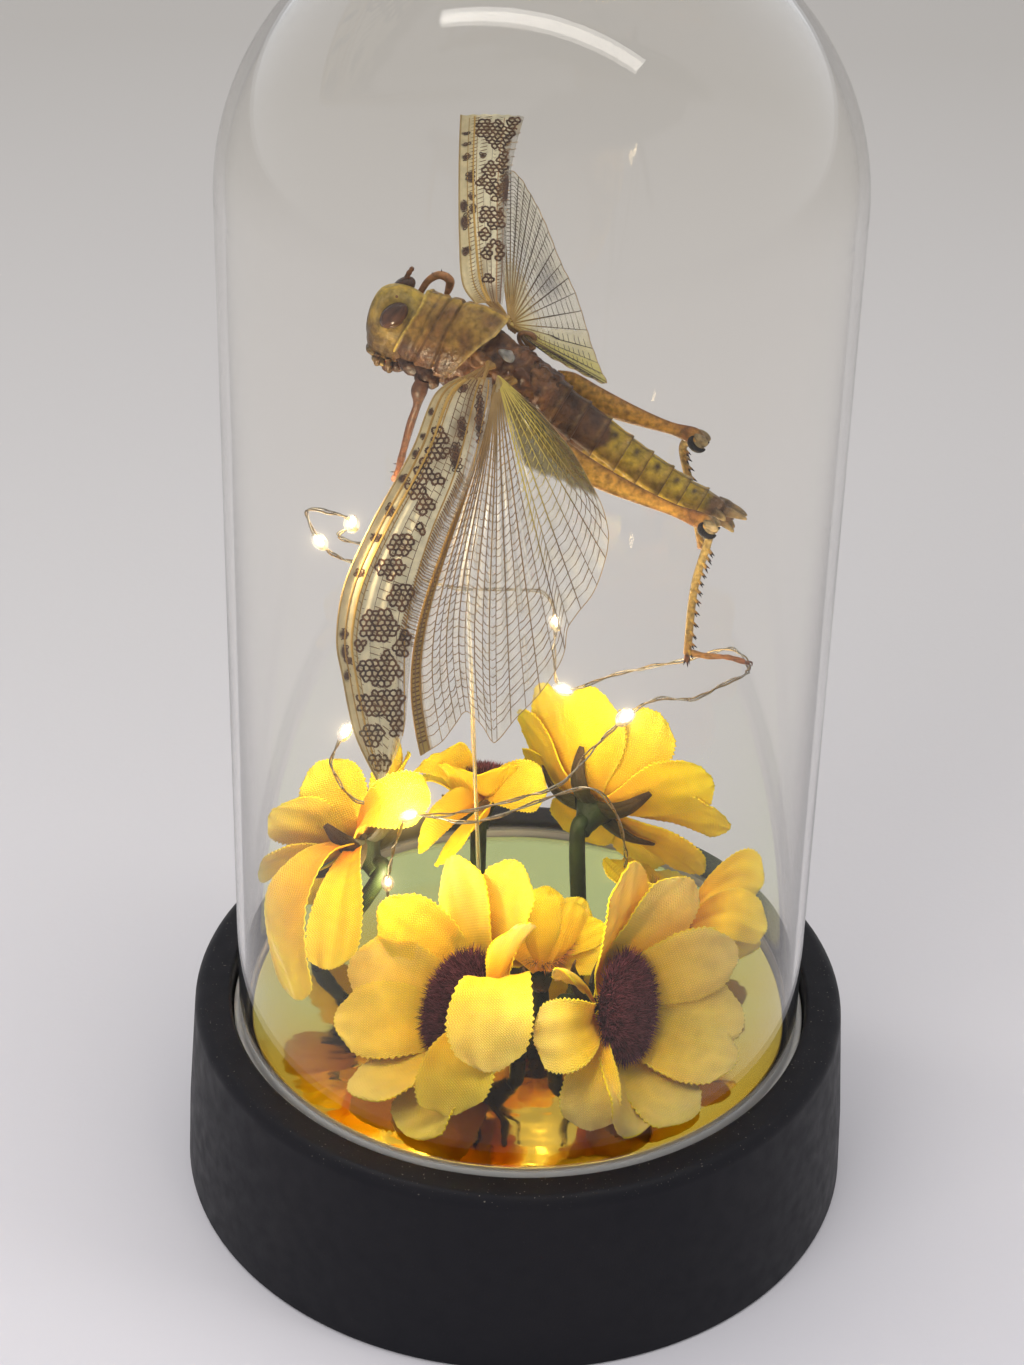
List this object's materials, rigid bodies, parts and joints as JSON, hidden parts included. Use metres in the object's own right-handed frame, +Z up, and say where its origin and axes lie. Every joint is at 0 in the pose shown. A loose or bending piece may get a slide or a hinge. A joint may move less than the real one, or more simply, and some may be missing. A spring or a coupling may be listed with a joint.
{
  "type": "insect in glass dome",
  "caption": "Dried locust with spread wings on a thin rod above yellow fabric flowers and bead lights, on a mirrored round black base under a clear dome.",
  "frame": {"origin": "middle of the underside of the base", "axes": "+Z up the axis of the dome; the insect's head points towards -X and the front of the display faces -Y"},
  "size_m": [0.115, 0.115, 0.2257],
  "materials": {
    "base_black": "moulded, fine matt grain with a little dust",
    "cover_black": "moulded, plain",
    "mirror_tint": "mirrored sheet with a faint yellow-green tint and slight ripples",
    "clear_dome": "clear, polished",
    "locust_olive": "dried cuticle, satin, olive to dark brown",
    "eye_brown": "smooth dark brown",
    "forewing_cream": "leathery membrane, cream with dark brown cells and yellow veins",
    "hindwing_clear": "clear pleated membrane with brown veins",
    "leg_brown": "dried cuticle, orange brown",
    "rod_clear": "clear, slightly golden",
    "petal_yellow": "woven, yellow turning orange at the base",
    "centre_brown": "fuzzy flock, dark purple brown",
    "calyx_green": "moulded, dark green",
    "light_wire": "thin lacquered wire",
    "bead_resin": "clear resin drop, lit warm white"
  },
  "bodies": {
    "root": {"base_shell": "base_black", "base_cover": "cover_black", "mirror_disc": "mirror_tint", "glass_dome": "clear_dome", "locust_body": "locust_olive", "forewing_left": "forewing_cream", "forewing_right": "forewing_cream", "hindwing_left": "hindwing_clear", "hindwing_right": "hindwing_clear", "hind_leg_left": "leg_brown", "hind_leg_right": "leg_brown", "fore_leg_left": "leg_brown", "fore_leg_right": "leg_brown", "support_rod": "rod_clear", "flower_1_petals_outer": "petal_yellow", "flower_1_petals_inner": "petal_yellow", "flower_1_centre": "centre_brown", "flower_1_calyx": "calyx_green", "flower_2_petals_outer": "petal_yellow", "flower_2_petals_inner": "petal_yellow", "flower_2_centre": "centre_brown", "flower_2_calyx": "calyx_green", "flower_3_petals_outer": "petal_yellow", "flower_3_petals_inner": "petal_yellow", "flower_3_centre": "centre_brown", "flower_3_calyx": "calyx_green", "flower_4_petals_outer": "petal_yellow", "flower_4_petals_inner": "petal_yellow", "flower_4_centre": "centre_brown", "flower_4_calyx": "calyx_green", "flower_5_petals_outer": "petal_yellow", "flower_5_petals_inner": "petal_yellow", "flower_5_centre": "centre_brown", "flower_5_calyx": "calyx_green", "flower_6_petals_outer": "petal_yellow", "flower_6_petals_inner": "petal_yellow", "flower_6_centre": "centre_brown", "flower_6_calyx": "calyx_green", "flower_7_petals_outer": "petal_yellow", "flower_7_petals_inner": "petal_yellow", "flower_7_centre": "centre_brown", "flower_7_calyx": "calyx_green", "light_string_main": "light_wire", "light_string_side": "light_wire"}
  },
  "joints": []
}
